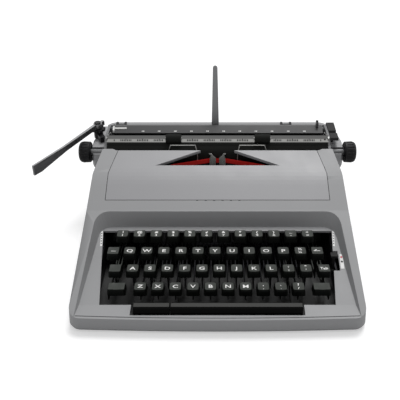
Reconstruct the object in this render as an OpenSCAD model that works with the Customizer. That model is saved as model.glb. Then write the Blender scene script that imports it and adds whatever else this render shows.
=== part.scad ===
// Portable typewriter with a recessed keyboard, a lift-off ribbon cover and a moving carriage.
// Heights are measured from the table, depths from the front edge, widths from the middle plane.

/* [Case] */
// Width of the case at the line where tray and shell meet
case_w = 318; // [312:1:330]
// Depth of the case
case_d = 316; // [312:1:326]
// Height of the rubber feet under the tray
foot_h = 2; // [1:0.5:6]
// Height of the base tray's rim
tray_h = 3.6; // [3:0.1:8]
// Wall thickness of the plastic case
wall = 2.5; // [1.5:0.1:3]
// Lean of the side walls in degrees
side_draft = 4.6; // [2:0.1:6]
// Radius of the case corners seen from above
corner_r = 14; // [8:1:20]
// How far the front edge bows forward in the middle
front_bow = 3; // [0:0.5:6]
// Height of the front deck
front_z = 20; // [18:0.5:22]
// Height of the deck behind the keyboard
deck_z = 70; // [66:0.5:74]
// Height of the ribbon cover's knee
knee_z = 92.4; // [89:0.2:94]
// Height of the ribbon cover's rear edge
cover_z = 104; // [101:0.2:106]
// Height of the ledge at the back of the case
rear_z = 96.5; // [90:0.5:104]
// Height of the side walls under the carriage
channel_z = 66; // [60:0.5:67]

/* [Keyboard] */
// Distance between neighbouring keys in a row
key_pitch = 19; // [18.8:0.05:19.2]
// Distance between key rows from front to back
row_pitch = 19.16; // [18.5:0.02:19.6]
// Height step from one key row to the next
row_rise = 9.5; // [8:0.1:11]
// Depth of the front row's key centres
front_row_y = 37.5; // [36:0.5:39]
// Height of the front row's key tops
front_row_z = 34.6; // [32:0.2:37]
// Width of a key cap at its base
cap_w = 14.6; // [12:0.1:15]
// Height of a key cap
cap_h = 8; // [6:0.5:9]
// Thickness of a key lever
lever_t = 1.2; // [0.8:0.1:1.4]
// Height of a key lever's blade
lever_h = 4.5; // [3:0.1:5]
// Distance from the key levers' rod back to the platen's axis
fulcrum_back = 31; // [30:0.5:34]
// Radius of the rod that the key levers turn on
fulcrum_r = 2.5; // [1.5:0.1:2.8]

/* [Type action] */
// Number of type bars in the basket
bar_count = 44; // [40:2:46]
// Length of a type bar from its pivot to the type
bar_len = 58; // [56:0.5:59]
// Length of the type slug
slug_len = 7.5; // [6:0.1:8.5]
// Thickness of a type bar
bar_t = 1.2; // [0.8:0.1:1.4]
// Radius of the curved wire that the type bars turn on
wire_r = 1; // [0.7:0.1:1.2]
// Width of the ribbon
ribbon_w = 12; // [10:0.5:13]
// Radius of a ribbon spool's flange
spool_r = 22; // [19:0.5:23]

/* [Carriage] */
// Distance from the platen's axis to the back of the case
platen_back = 80; // [77:0.5:81]
// Height of the platen's axis
platen_z = 91; // [90:0.5:92]
// Radius of the platen's rubber
platen_r = 15.5; // [14:0.1:16]
// Length of the platen's rubber
platen_w = 282; // [270:1:283]
// Radius of the platen's steel shaft
shaft_r = 4; // [3:0.1:4.5]
// Radius of a platen knob
knob_r = 13.75; // [12:0.25:14]
// Length of a platen knob
knob_w = 15; // [13:0.5:20]
// Thickness of the carriage's end plates
plate_t = 3; // [2:0.5:3.5]
// Width of an end cover at its front
end_cover_w = 16.5; // [14:0.5:18]
// Length of the return lever from its pivot to its tip
lever_len = 116; // [100:1:125]
// Length of the paper support arm
support_len = 86; // [70:1:87]
// Radius of a paper bail roller
bail_roller_r = 5.5; // [4.5:0.1:6.5]

/* [Fits] */
// Gap round a pin that turns or slides in a hole
running_gap = 0.05; // [0.02:0.01:0.1]
// Gap between pieces that pass each other
free_gap = 0.3; // [0.2:0.05:0.5]
// Gap along the seam of a cover
seam_gap = 0.4; // [0.3:0.05:0.8]

/* [Hidden] */
$fn = 64;

case_grey = "#97989a";
cover_grey = "#a0a0a2";
key_black = "#1d1f1e";
dark_black = "#141414";
steel = "#8f9296";
chrome = "#c9ccd0";
rubber = "#262728";
red = "#a81c1c";

// The case in side view, from front to back.
platen_y = case_d - platen_back;
fulcrum_y = platen_y - fulcrum_back;
parting_z = foot_h + tray_h;
slab_t = 0.01;
front_lip_y = 4;
deck_y = 131;
knee_y = platen_y - 57.5;
knee_r = 14;
cover_rear_y = platen_y - 18.5;
shell_rear_y = platen_y - 16;
channel_y = platen_y - 17.5;
rear_ledge_y = case_d - 13;
shell_rear_w = 145;
rear_draft = 2;
tray_floor = 2.4;
far = 400;

// The key recess and the well that the keys stand in.
shelf_front_y = 21.5;
shelf_rear_y = 118;
shelf_front_z = front_z + 2;
shelf_rear_z = 50;
well_front_w = 126.5;
well_rear_w = 134;
bar_notch_y = 7.3;

// The ribbon cover's outline.
cover_front_y = 144.3;
cover_w = 133;
cover_rear_w = 125;
cover_bend_y = knee_y + 1.5;
cover_t = 2.2;
ledge_t = 1.8;
ledge_w = 5;
notch_front_y = knee_y + 13.5;
notch_w = 76;
notch_tip_w = 21;
notch_lip_w = 3.3;
notch_lip_h = 3.6;

// Keys: the position of every lever is a multiple of a quarter of the key pitch.
quarter = key_pitch / 4;
rows = [
    [12, -107.25 / 4.75, 3],
    [11, -97.75 / 4.75, 2],
    [11, -93 / 4.75, 1],
    [10, -83.5 / 4.75, 0]
];
h_row = 3;
h_index = 5;
fulcrum_z = 12;
hub_r = fulcrum_r + 1.5;
lever_slope = 0.05;
lever_base_z = fulcrum_z - 3.5;
cap_lean = 1.3;
dish_r = 26;
dish_depth = 0.9;
stem_w = 6;

// Function keys: lever place, cap place, cap width, row.
shift_left_x = -109;
shift_right_x = 112.6;
shift_left_lever = -118.6;
shift_right_lever = 121;
shift_cap_w = 20;
shift_cap_d = 13.5;
lock_x = -112.3;
margin_release_x = -116;
backspace_x = 111;
tab_x = 117;
cross_rod_r = 2;
cross_rod_y = fulcrum_y + 9;
cross_rod_z = fulcrum_z - 2;

// The split space bar.
bar_x0 = -49.5;
bar_x1 = 90;
repeat_x0 = -89;
repeat_x1 = bar_x0 - 1.2;
bar_notch_w = max(bar_x1, -repeat_x0) + 2.5;
space_arms = [13, 39];
repeat_arm = 7;
arm_t = 1.5;
bar_back_y = 20;
seat_gap = 0.02;

// Type action: the bars point at the print point on the platen when they strike.
strike_tilt = 5;
print_y = platen_y - platen_r * cos(strike_tilt);
print_z = platen_z - platen_r * sin(strike_tilt);
arc_y = print_y - slug_len * cos(strike_tilt);
arc_z = print_z - slug_len * sin(strike_tilt);
bar_step = 124 / bar_count;
bar_h = 3;
slug_w = 1.9;
h_bar = bar_count / 2;
segment_in = bar_len - 6;
segment_out = bar_len + 9;
segment_front = -5;
segment_back = 3;
segment_span = 66;
guide_pin_x = 60;
guide_pin_y = platen_y - 9;
guide_pin_r = 3;
stem_y = platen_y - 14.4;
stem_t = 2;
vibrator_y = print_y - 5;
vibrator_t = 1.2;
ribbon_z = 79.5;
ribbon_t = 0.3;
ribbon_y = vibrator_y + vibrator_t + free_gap + ribbon_t;
ribbon_turn_x = 56;
ribbon_turn_y = platen_y - 33;
card_wire_r = 0.6;
spool_x = 96;
spool_y = platen_y - 49;
cup_z = 65;
cup_t = 2;
cup_r = spool_r + 3;
spool_h = ribbon_w + 0.4;
spindle_r = 2.5;

// Chassis plates and cross members.
side_x = 133;
side_t = 2;
rail_y = platen_y + 28;
rail_d = 8;
rail_z = 57;
rail_h = 7;
rail_half = 143;
rear_plate_y = platen_y + 56;
drum_x = -95;
drum_z = 31;
drum_r = 21;
bell_x = 60;
bell_y = rear_plate_y - 16;
bell_z = 30;
bell_r = 17;
bell_t = 1.4;

// Carriage, all of it above the side walls of the case.
plate_x = platen_w / 2 + 1.5;
cover_x = plate_x + plate_t;
knob_x = cover_x + end_cover_w + 1;
carriage_z = 69.6;
end_cover_z = 70;
end_top_z = 98.6;
end_round = 6;
end_front_y = platen_y - 7;
end_rear_y = platen_y + 64.5;
end_taper = 6.5;
bail_pivot_y = platen_y + 26;
bail_pivot_z = 102;
bail_angle = 9.5;
bail_reach = platen_r + bail_roller_r + free_gap;
bail_y = platen_y - bail_reach * sin(bail_angle);
bail_z = platen_z + bail_reach * cos(bail_angle);
bail_arm_t = 2;
bail_roller_x = [-56, 57];
roller_half = 9.9;
bail_rod_r = 1.8;
roller_r = 5;
roller_drop = 60;
table_w = 2 * (plate_x - 4.5);
table_t = 1.2;
table_back_y = platen_y + 39;
table_front_y = platen_y + 21.5;
table_front_z = 107.4;
table_top_y = platen_y + 33;
table_top_z = 112.5;
margin_rail_y = platen_y + 50;
margin_rail_z = 99;
stop_left_x = -129.5;
stop_right_x = 92;
support_y = table_back_y + 4.2;
support_z = 101;
support_x = -3;
support_lean = 10.5;
lever_pivot_x = -(cover_x + 11.5);
lever_pivot_y = platen_y + 28;
lever_pivot_z = 115;
lever_low_z = 112;
lever_angle = 32.5;
lever_drop = 10;
paddle_t = 2.4;
release_z = 104;
paper_release_y = platen_y + 37;
carriage_release_y = platen_y + 12;

// The origin is under the middle of the whole machine's box.
reach_left = lever_pivot_x - lever_len * sin(lever_angle) - paddle_t / 2 * cos(lever_angle);
reach_right = knob_x + knob_w;
centre_x = (reach_left + reach_right) / 2;
centre_y = case_d / 2;

function half_w(z) = case_w / 2 - (z - parting_z) * tan(side_draft);
function rear_y(z) = case_d - (z - parting_z) * tan(rear_draft);
function row_y(k) = front_row_y + k * row_pitch;
function row_z(k) = front_row_z + k * row_rise;
function lever_low(y) = lever_base_z + (fulcrum_y - y) * lever_slope;
function key_x(row, i) = (rows[row - 1][1] + 4 * i) * quarter;
function bar_angle(i) = (i - (bar_count - 1) / 2) * bar_step;

// Puts machine coordinates into the frame whose origin is under the middle of the box.
module place() {
    translate([-centre_x, -centre_y, 0]) children();
}

// Extrudes a side view, drawn as depth and height, across the machine.
module along_x(x0, x1) {
    translate([x0, 0, 0]) rotate([90, 0, 90]) linear_extrude(x1 - x0) children();
}

// A round bar across the machine.
module bar_x(x0, x1, y, z, r) {
    translate([x0, y, z]) rotate([0, 90, 0]) cylinder(h = x1 - x0, r = r);
}

// One level of the case seen from above, with a bowed front.
module plan_slab(z, inset) {
    hw = half_w(z) - inset;
    r = max(corner_r - inset, 2);
    translate([0, 0, z]) linear_extrude(slab_t) {
        for (side = [-1, 1]) translate([side * (hw - r), rear_y(z) - inset - r]) circle(r, $fn = 32);
        for (i = [-4 : 4]) {
            translate([i / 4 * (hw - r), inset + r + front_bow * pow(i / 4, 2)]) circle(r, $fn = 32);
        }
    }
}

module case_block(z0, z1, inset0, inset1) {
    hull() {
        plan_slab(z0, inset0);
        plan_slab(z1, inset1);
    }
}

// Points of the blend between the two slopes of the deck, at a depth under its surface.
deck_slope = (knee_z - deck_z) / (knee_y - deck_y);
top_slope = (cover_z - knee_z) / (shell_rear_y - knee_y);
function knee_points(down) = [for (t = [-1 : 0.4 : 1]) [
    knee_y + knee_r * t,
    knee_z - down + (deck_slope + top_slope) / 2 * knee_r * t - (deck_slope - top_slope) / 4 * knee_r * (t * t + 1)
]];

// The outer side view of the shell.
module shell_profile() {
    polygon(concat(
        [[-10, 0], [-10, front_z - 0.3], [front_lip_y, front_z], [deck_y, deck_z]],
        knee_points(0),
        [[shell_rear_y, cover_z], [shell_rear_y, cover_z - 3], [channel_y, cover_z - 7],
        [channel_y, channel_z], [rear_ledge_y, channel_z], [rear_ledge_y, rear_z],
        [far, rear_z - 3], [far, 0]]
    ));
}

// The room inside the shell, in front of and behind the cross wall.
module cavity_profile() {
    polygon([
        [-10, 0], [-10, front_z - wall], [front_lip_y, front_z - wall], [deck_y, deck_z - wall * 1.1],
        [knee_y, knee_z - wall * 1.1], [channel_y - wall, cover_z - wall * 1.6], [channel_y - wall, 0]
    ]);
    polygon([
        [channel_y, 0], [channel_y, cover_z - 7], [shell_rear_y + 1, cover_z - 7],
        [shell_rear_y + 1, far], [rear_ledge_y, far], [rear_ledge_y, channel_z - 6],
        [rear_ledge_y + wall, channel_z - 6], [rear_ledge_y + wall, rear_z - wall],
        [far, rear_z - wall - 3], [far, 0]
    ]);
}

module recess_slab(z, front_w, rear_w, rear, grow) {
    r = 18 + grow;
    translate([0, 0, z]) linear_extrude(slab_t) {
        for (side = [-1, 1]) {
            translate([side * (front_w + grow - 1), -30]) circle(1, $fn = 32);
            translate([side * (rear_w + grow - r), rear + grow - r]) circle(r, $fn = 32);
        }
    }
}

// The recess round the keyboard, grown for the wall that lines it.
module recess(grow) {
    intersection() {
        hull() {
            recess_slab(15, 156.5, 129.7, shelf_rear_y - 4.5, grow);
            recess_slab(85, 172, 149.5, deck_y + 3.5, grow);
        }
        along_x(-far, far) polygon([
            [-40, front_z + 0.2 - grow], [front_lip_y, front_z - grow],
            [shelf_front_y, shelf_front_z - grow], [shelf_rear_y, shelf_rear_z - grow],
            [deck_y + 20, shelf_rear_z - grow + 6], [deck_y + 20, far], [-40, far]
        ]);
    }
}

// The hole in the recess that the keys stand in, with the space bar's notch and the selector's slot.
module well() {
    translate([0, 0, parting_z]) linear_extrude(far) {
        polygon([
            [-well_front_w, shelf_front_y], [well_front_w, shelf_front_y],
            [well_rear_w, shelf_rear_y], [-well_rear_w, shelf_rear_y]
        ]);
        translate([-bar_notch_w, bar_notch_y]) square([2 * bar_notch_w, shelf_front_y]);
        translate([well_front_w, 64]) square([10.5, 26]);
    }
}

// The outline of the ribbon cover, grown or shrunk.
module cover_outline(grow) {
    polygon([
        [-cover_w - grow, cover_front_y - grow], [cover_w + grow, cover_front_y - grow],
        [cover_w + grow, cover_bend_y], [cover_rear_w + grow, cover_rear_y],
        [-cover_rear_w - grow, cover_rear_y], [-cover_w - grow, cover_bend_y]
    ]);
}

// The layer of the deck between two depths under its outer surface.
module deck_layer(top, bottom) {
    upper = knee_points(top);
    lower = knee_points(bottom);
    along_x(-far, far) polygon(concat(
        [[deck_y, deck_z - top]], upper,
        [[shell_rear_y, cover_z - top], [shell_rear_y, cover_z - bottom]],
        [for (i = [len(lower) - 1 : -1 : 0]) lower[i]], [[deck_y, deck_z - bottom]]
    ));
}

module base_tray() color(case_grey) {
    difference() {
        case_block(foot_h, parting_z - slab_t, 2, 0);
        case_block(foot_h + tray_floor, parting_z + 1, wall + 0.6, wall + 0.6);
        foot_places() translate([0, 0, foot_h - 1]) cylinder(h = 2, r = foot_r + free_gap);
    }
}

foot_r = 8;
foot_inset = 34;
module foot_places() {
    for (x = [-1, 1], y = [foot_inset, case_d - foot_inset]) {
        translate([x * (case_w / 2 - foot_inset), y, 0]) children();
    }
}

module rubber_feet() color(rubber) {
    foot_places() {
        cylinder(h = foot_h + 1, r = foot_r);
    }
}

module top_shell() color(case_grey) {
    difference() {
        union() {
            difference() {
                intersection() {
                    case_block(parting_z, 110, 0, 0);
                    along_x(-far, far) shell_profile();
                }
                difference() {
                    intersection() {
                        case_block(parting_z - 1, 118, wall, wall);
                        along_x(-far, far) cavity_profile();
                    }
                    recess(wall);
                    for (side = [0, 1]) mirror([side, 0, 0]) corner_cut(wall);
                }
            }
            intersection() {
                deck_layer(cover_t + free_gap, cover_t + free_gap + ledge_t);
                linear_extrude(far) intersection() {
                    cover_outline(seam_gap + 1);
                    translate([-far, 0]) square([2 * far, cover_bend_y]);
                }
            }
        }
        recess(0);
        well();
        intersection() {
            linear_extrude(far) cover_outline(seam_gap);
            deck_layer(-far, cover_t + free_gap);
        }
        translate([0, 0, deck_z - 15]) linear_extrude(far) cover_outline(-ledge_w);
        translate([-side_x - 4, channel_y - wall - 0.1, parting_z - 1])
            cube([2 * side_x + 8, rear_ledge_y - channel_y + wall, 90 - parting_z + 1]);
        translate([-side_x - 4, shell_rear_y + 0.01, parting_z - 1])
            cube([2 * side_x + 8, rear_ledge_y - shell_rear_y, far]);
        rear_edge_cut();
        for (side = [0, 1]) mirror([side, 0, 0]) corner_cut(0);
    }
}

// The rear edge of the deck swings back in an S on each side of the cover.
module rear_edge_cut() {
    x0 = cover_rear_w + seam_gap + 1.5;
    step = shell_rear_y - cover_rear_y + 0.01;
    curve = [for (t = [0 : 0.125 : 1]) [x0 + 6 * t, cover_rear_y + step * t * t * (3 - 2 * t)]];
    translate([0, 0, deck_z]) linear_extrude(far) for (side = [0, 1]) mirror([side, 0]) polygon(concat(
        [[-1, cover_rear_y - 20], [cover_rear_w + seam_gap, cover_rear_y - 20], [cover_rear_w + seam_gap, cover_rear_y]],
        curve, [[x0 + 6, cover_rear_y + 8], [-1, cover_rear_y + 8]]
    ));
}

// Behind the knee the side walls lean in more, to pass inside the end covers.
function corner_x(y, z) = shell_rear_w + (half_w(knee_z) - shell_rear_w - 2.78) * (shell_rear_y - y)
    / (shell_rear_y - knee_y) + (half_w(channel_z) - shell_rear_w) * (cover_z - z) / (cover_z - channel_z);

module corner_cut(grow) {
    y0 = deck_y;
    y1 = shell_rear_y + 0.3;
    hull() for (y = [y0, y1], z = [channel_z + 0.1, 120]) {
        translate([corner_x(y, z) - grow, y, z]) cube([60, slab_t, slab_t]);
    }
}

module ribbon_cover() color(cover_grey) {
    intersection() {
        deck_layer(0, cover_t);
        linear_extrude(far) difference() {
            cover_outline(0);
            polygon([
                [-notch_w, notch_front_y], [notch_w, notch_front_y], [notch_tip_w, cover_rear_y],
                [notch_tip_w, far], [-notch_tip_w, far], [-notch_tip_w, cover_rear_y]
            ]);
        }
    }
    intersection() {
        deck_layer(0, notch_lip_h);
        linear_extrude(far) for (side = [0, 1]) mirror([side, 0]) polygon([
            [notch_w, notch_front_y], [notch_w + notch_lip_w, notch_front_y],
            [notch_tip_w + notch_lip_w, cover_rear_y], [notch_tip_w, cover_rear_y]
        ]);
    }
}

module chassis_side() {
    along_x(side_x, side_x + side_t) polygon([
        [62, parting_z - 1.2], [rear_plate_y + 6, parting_z - 1.2], [rear_plate_y + 6, rail_z - 2],
        [platen_y + 4, rail_z - 2], [spool_y + 27, cup_z + cup_t], [spool_y - 32, cup_z + cup_t],
        [112, 32], [68, 30], [62, 16]
    ]);
}

module spool_cup() {
    difference() {
        translate([0, 0, cup_z]) cylinder(h = cup_t + 6, r = cup_r);
        translate([0, 0, cup_z + cup_t]) cylinder(h = 10, r = cup_r - 1.5);
        translate([-26, 15.4, cup_z + cup_t + 0.3]) cube([14, 4, 10]);
    }
    translate([0, 0, cup_z + 1]) cylinder(h = spool_h + 6, r = spindle_r);
}

module chassis() color(steel) {
    for (side = [0, 1]) mirror([side, 0, 0]) {
        chassis_side();
        translate([spool_x, spool_y, 0]) spool_cup();
        translate([spool_x + cup_r - 2, spool_y - 12, cup_z]) cube([side_x - spool_x - cup_r + 3, 24, cup_t]);
        translate([guide_pin_x, guide_pin_y, 8]) cylinder(h = 55, r = guide_pin_r);
    }
    translate([-side_x, spool_y - 41, parting_z - 1.2]) cube([2 * side_x, 10, 2]);
    translate([-side_x, guide_pin_y - 4.5, 6]) cube([2 * side_x, 9, 4]);
    translate([-side_x - side_t, rail_y - 2, rail_z - 2]) cube([2 * (side_x + side_t), 34, 2]);
    translate([-side_x, rear_plate_y, parting_z - 1.2]) cube([2 * side_x, 2, rail_z - parting_z]);
    translate([-9, stem_y + stem_t + 0.2, 9]) cube([18, 5, 38]);
    bar_x(side_x - 4.5, side_x + 1, 77, 24, 2);
    translate([drum_x, rear_plate_y + 1, drum_z]) rotate([90, 0, 0]) cylinder(h = 26, r = 3);
    translate([bell_x, rear_plate_y + 1, bell_z]) rotate([90, 0, 0])
        cylinder(h = rear_plate_y - bell_y + bell_r + 2, r = 2);
}

module key_comb() color(steel) {
    comb_y = 112;
    translate([-side_x, comb_y, parting_z - 1.2]) cube([2 * side_x, 3, 2.4]);
    for (i = [-1 : 44]) {
        if (len(search(i, concat(space_arms, [repeat_arm]))) == 0) {
            translate([arm_x(i) - 1.1, comb_y, parting_z]) cube([2.2, 3, 14]);
        }
    }
}

// The place of a gap between two levers, where a tooth or an arm of the space bar passes.
function arm_x(i) = rows[0][1] * quarter + (i + 0.5) * quarter;

module key_pivot_rod() color(chrome) {
    bar_x(-side_x, side_x, fulcrum_y, fulcrum_z, fulcrum_r);
}

// A key lever in side view: hub, blade and the stem that carries the cap.
module lever_profile(y, cap_low, tail = false) {
    difference() {
        union() {
            translate([fulcrum_y, fulcrum_z]) circle(hub_r);
            if (tail) translate([cross_rod_y, cross_rod_z]) circle(cross_rod_r + 1.4);
            if (tail) translate([fulcrum_y, cross_rod_z - 2]) square([cross_rod_y - fulcrum_y, 4]);
            polygon([
                [fulcrum_y, lever_low(fulcrum_y)], [y - stem_w / 2 + 1, lever_low(y)],
                [y - stem_w / 2, cap_low], [y + stem_w / 2, cap_low],
                [y + stem_w / 2 + 2, lever_low(y) + lever_h + 2],
                [y + stem_w + 8, lever_low(y + stem_w + 8) + lever_h],
                [fulcrum_y, lever_low(fulcrum_y) + lever_h]
            ]);
        }
        translate([fulcrum_y, fulcrum_z]) circle(fulcrum_r + running_gap);
        if (tail) translate([cross_rod_y, cross_rod_z]) circle(cross_rod_r + seat_gap);
    }
}

module key_lever(x, k, seat = 0, tail = false) {
    along_x(x - lever_t / 2, x + lever_t / 2) lever_profile(row_y(k), row_z(k) - cap_h - seat, tail);
}

// One side view of a key cap: the sides lean in, and more so under the top edge.
module cap_side(w) {
    polygon([
        [-w / 2, 0], [w / 2, 0], [w / 2 - 0.5, cap_h - 2.2], [w / 2 - cap_lean, cap_h],
        [cap_lean - w / 2, cap_h], [0.5 - w / 2, cap_h - 2.2]
    ]);
}

// A dished key cap: two side views crossed, with the corners rounded by cones.
module keycap(w, d) {
    corner = d * 0.64;
    reach = (w - d) / 2;
    difference() {
        intersection() {
            along_x(-w, w) cap_side(d);
            rotate([0, 0, 90]) along_x(-w, w) cap_side(w);
            union() {
                for (side = [-1, 1]) {
                    translate([side * reach, 0, 0]) cylinder(h = cap_h, r1 = corner, r2 = corner - cap_lean);
                }
                if (reach > 0) translate([-reach, -d, 0]) cube([2 * reach, 2 * d, cap_h]);
            }
        }
        translate([0, 0, cap_h + dish_r - dish_depth]) sphere(dish_r);
    }
}

module cap_at(x, k, w, d) {
    translate([x, row_y(k), row_z(k) - cap_h]) keycap(w, d);
}

module keycaps(row) color(key_black) {
    for (i = [0 : rows[row - 1][0] - 1]) {
        if (row != h_row || i != h_index) {
            cap_at(key_x(row, i), rows[row - 1][2], cap_w, cap_w);
        }
    }
}

module key_levers(row) color(steel) {
    for (i = [0 : rows[row - 1][0] - 1]) {
        if (row != h_row || i != h_index) {
            key_lever(key_x(row, i), rows[row - 1][2]);
        }
    }
}

module key_h() color(key_black) {
    cap_at(key_x(h_row, h_index), 1, cap_w, cap_w);
    key_lever(key_x(h_row, h_index), 1, seat_gap);
}

module function_key(x, lever_x, k, w, d) color(key_black) {
    cap_at(x, k, w, d);
    key_lever(lever_x, k, seat_gap, k == 0);
}

// Both shift keys on one rod behind the fulcrum, so that either moves the basket.
module shift_keys() {
    function_key(shift_left_x, shift_left_lever, 0, shift_cap_w, shift_cap_d);
    function_key(shift_right_x, shift_right_lever, 0, shift_cap_w, shift_cap_d);
    color(steel) bar_x(shift_left_lever - 2, shift_right_lever + 2, cross_rod_y, cross_rod_z, cross_rod_r);
}

module bar_profile() {
    polygon([
        [9, 17], [8.6, 22], [10.3, 27], [12, 28], [17.5, 28.4], [bar_back_y - 0.4, 27], [bar_back_y, 17]
    ]);
}

// An arm of the bar: it dips under the front row's caps, which come down over it.
module arm_profile() {
    dip_z = 10.8;
    dip_y = front_row_y + cap_w / 2 + 4;
    difference() {
        union() {
            translate([fulcrum_y, fulcrum_z]) circle(hub_r);
            polygon([
                [fulcrum_y, lever_low(fulcrum_y)], [dip_y + 6, lever_low(dip_y + 6)], [dip_y, dip_z],
                [bar_back_y + seat_gap, dip_z], [bar_back_y + seat_gap, lever_low(bar_back_y) + lever_h],
                [bar_back_y + 5, lever_low(bar_back_y) + lever_h], [bar_back_y + 5, dip_z + 4],
                [dip_y, dip_z + 4], [dip_y + 6, lever_low(dip_y + 6) + lever_h],
                [fulcrum_y, lever_low(fulcrum_y) + lever_h]
            ]);
        }
        translate([fulcrum_y, fulcrum_z]) circle(fulcrum_r + running_gap);
    }
}

module space_bar() color(dark_black) {
    along_x(bar_x0, bar_x1) bar_profile();
    for (i = space_arms) along_x(arm_x(i) - arm_t / 2, arm_x(i) + arm_t / 2) arm_profile();
}

module repeat_key() color(dark_black) {
    along_x(repeat_x0, repeat_x1) bar_profile();
    along_x(arm_x(repeat_arm) - arm_t / 2, arm_x(repeat_arm) + arm_t / 2) arm_profile();
}

module ribbon_selector() color(dark_black) {
    along_x(side_x - 4, side_x - 1) difference() {
        union() {
            translate([77, 24]) circle(5);
            polygon([[74, 24], [80, 24], [79.5, 46], [74.5, 46]]);
        }
        translate([77, 24]) circle(2 + running_gap);
    }
    translate([side_x - 6, 73.5, 44]) cube([8, 7, 3]);
}

// The plane that the type bars' pivots lie in, with its middle at the print point.
module basket() {
    translate([0, arc_y, arc_z]) rotate([strike_tilt, 0, 0]) children();
}

module bar_side() {
    difference() {
        union() {
            circle(2.2, $fn = 32);
            polygon([
                [0, -bar_h / 2], [0, bar_h / 2], [-bar_len, bar_h / 2 - 0.5], [-bar_len - 2, bar_h / 2 - 0.5],
                [-bar_len - 2, -bar_h / 2 + 0.5]
            ]);
        }
        circle(wire_r + running_gap, $fn = 32);
    }
}

module type_bar(i) {
    rotate([0, -bar_angle(i), 0]) translate([0, 0, -bar_len]) {
        along_x(-bar_t / 2, bar_t / 2) bar_side();
        translate([-slug_w / 2, -bar_len - 3.5, bar_h / 2 - 1]) cube([slug_w, 7, slug_len - bar_h / 2 + 1]);
    }
}

module type_bars() color(chrome) {
    basket() for (i = [0 : bar_count - 1]) {
        if (i != h_bar) type_bar(i);
    }
}

module type_bar_h() color(chrome) {
    basket() type_bar(h_bar);
}

module fulcrum_wire() color(chrome) {
    basket() rotate([90, 0, 0]) rotate([0, 0, -90 - segment_span + 1])
        rotate_extrude(angle = 2 * segment_span - 2) translate([bar_len, 0]) circle(wire_r);
}

module type_segment() color(steel) {
    basket() difference() {
        union() {
            translate([0, segment_back, 0]) rotate([90, 0, 0]) rotate([0, 0, -90 - segment_span])
                rotate_extrude(angle = 2 * segment_span) translate([segment_in, 0])
                square([segment_out - segment_in, segment_back - segment_front]);
        }
        rotate([90, 0, 0]) rotate_extrude() translate([bar_len, 0]) circle(wire_r);
        for (i = [0 : bar_count - 1]) {
            rotate([0, -bar_angle(i), 0]) translate([-bar_t / 2 - 0.15, segment_front - 1, -bar_len - 3.5])
                cube([bar_t + 0.3, 1 - segment_front + 2.3, 12]);
        }
    }
    for (side = [-1, 1]) difference() {
        translate([side * (guide_pin_x - 2) - 8, guide_pin_y - 8.6, 46]) cube([16, 13.6, 14]);
        translate([side * guide_pin_x, guide_pin_y, 40]) cylinder(h = 30, r = guide_pin_r + running_gap);
    }
}

// The plate that lifts the ribbon in front of the print point.
module ribbon_vibrator() color(chrome) {
    along_x(-7, 7) polygon([
        [stem_y, 31], [stem_y + stem_t, 31], [stem_y + stem_t, 50], [vibrator_y + vibrator_t, 62],
        [vibrator_y + vibrator_t, 81.9], [vibrator_y, 81.9], [vibrator_y, 61], [stem_y, 49]
    ]);
    translate([0, vibrator_y + vibrator_t, 0]) rotate([90, 0, 0]) linear_extrude(vibrator_t) for (side = [0, 1]) {
        mirror([side, 0]) polygon([
            [0, 79], [10.5, 79], [9.8, 92], [8.6, 97], [10.8, 99.6], [7.6, 99.6], [6.6, 97.8],
            [5, 95.6], [3.4, 94.2], [2, 92.5], [2, 82], [0, 82]
        ]);
    }
}

module ribbon() color(red) {
    translate([0, 0, ribbon_z]) linear_extrude(ribbon_w) polygon([
        [-ribbon_turn_x, ribbon_turn_y], [-11, ribbon_y], [11, ribbon_y], [ribbon_turn_x, ribbon_turn_y],
        [ribbon_turn_x, ribbon_turn_y - ribbon_t], [11, ribbon_y - ribbon_t], [-11, ribbon_y - ribbon_t],
        [-ribbon_turn_x, ribbon_turn_y - ribbon_t]
    ]);
}

// The stretches from the spools to where the ribbon is lifted.
module ribbon_runs() color(red) {
    clear_x = spool_x - spool_r + 4;
    low_y = spool_y + spool_r - 4.6;
    low_z = cup_z + cup_t + free_gap + 1.2;
    for (side = [0, 1]) mirror([side, 0, 0]) {
        hull() {
            translate([ribbon_turn_x + free_gap, ribbon_turn_y - ribbon_t, ribbon_z]) cube([0.5, ribbon_t, ribbon_w]);
            translate([clear_x, low_y, low_z]) cube([0.5, ribbon_t, ribbon_w]);
        }
        translate([clear_x, low_y, low_z]) cube([spool_x - clear_x, ribbon_t, ribbon_w]);
    }
}

// A straight stretch of round wire that runs a little past both of its ends.
module wire(a, b, r) {
    reach = norm(b - a);
    translate(a) rotate([0, acos((b[2] - a[2]) / reach), atan2(b[1] - a[1], b[0] - a[0])])
        translate([0, 0, -r / 2]) cylinder(h = reach + r, r = r, $fn = 8);
}

// Two wire fingers that hold a card against the platen.
module card_wires() color(chrome) {
    points = [
        [8.2, -11, 47.7], [25.5, -19, 62], [25.5, -19, 80], [25.5, -16.8, 86], [25.5, -16.8, 98],
        [28, -13.1, 107.5], [59.5, -13.1, 107.5], [62, -14, 100]
    ];
    translate([0, platen_y, 0]) for (side = [0, 1]) mirror([side, 0, 0]) for (i = [1 : len(points) - 1]) {
        wire(points[i - 1], points[i], card_wire_r);
    }
}

module spool() {
    difference() {
        union() {
            translate([0, 0, 0]) cylinder(h = 1, r = spool_r);
            translate([0, 0, spool_h + 1]) cylinder(h = 1, r = spool_r);
            cylinder(h = spool_h + 2, r = spool_r - 5);
        }
        translate([0, 0, -1]) cylinder(h = spool_h + 6, r = spindle_r + running_gap);
    }
}

module spool_at(side) color(dark_black) {
    translate([side * spool_x, spool_y, cup_z + cup_t + free_gap]) spool();
}

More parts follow.
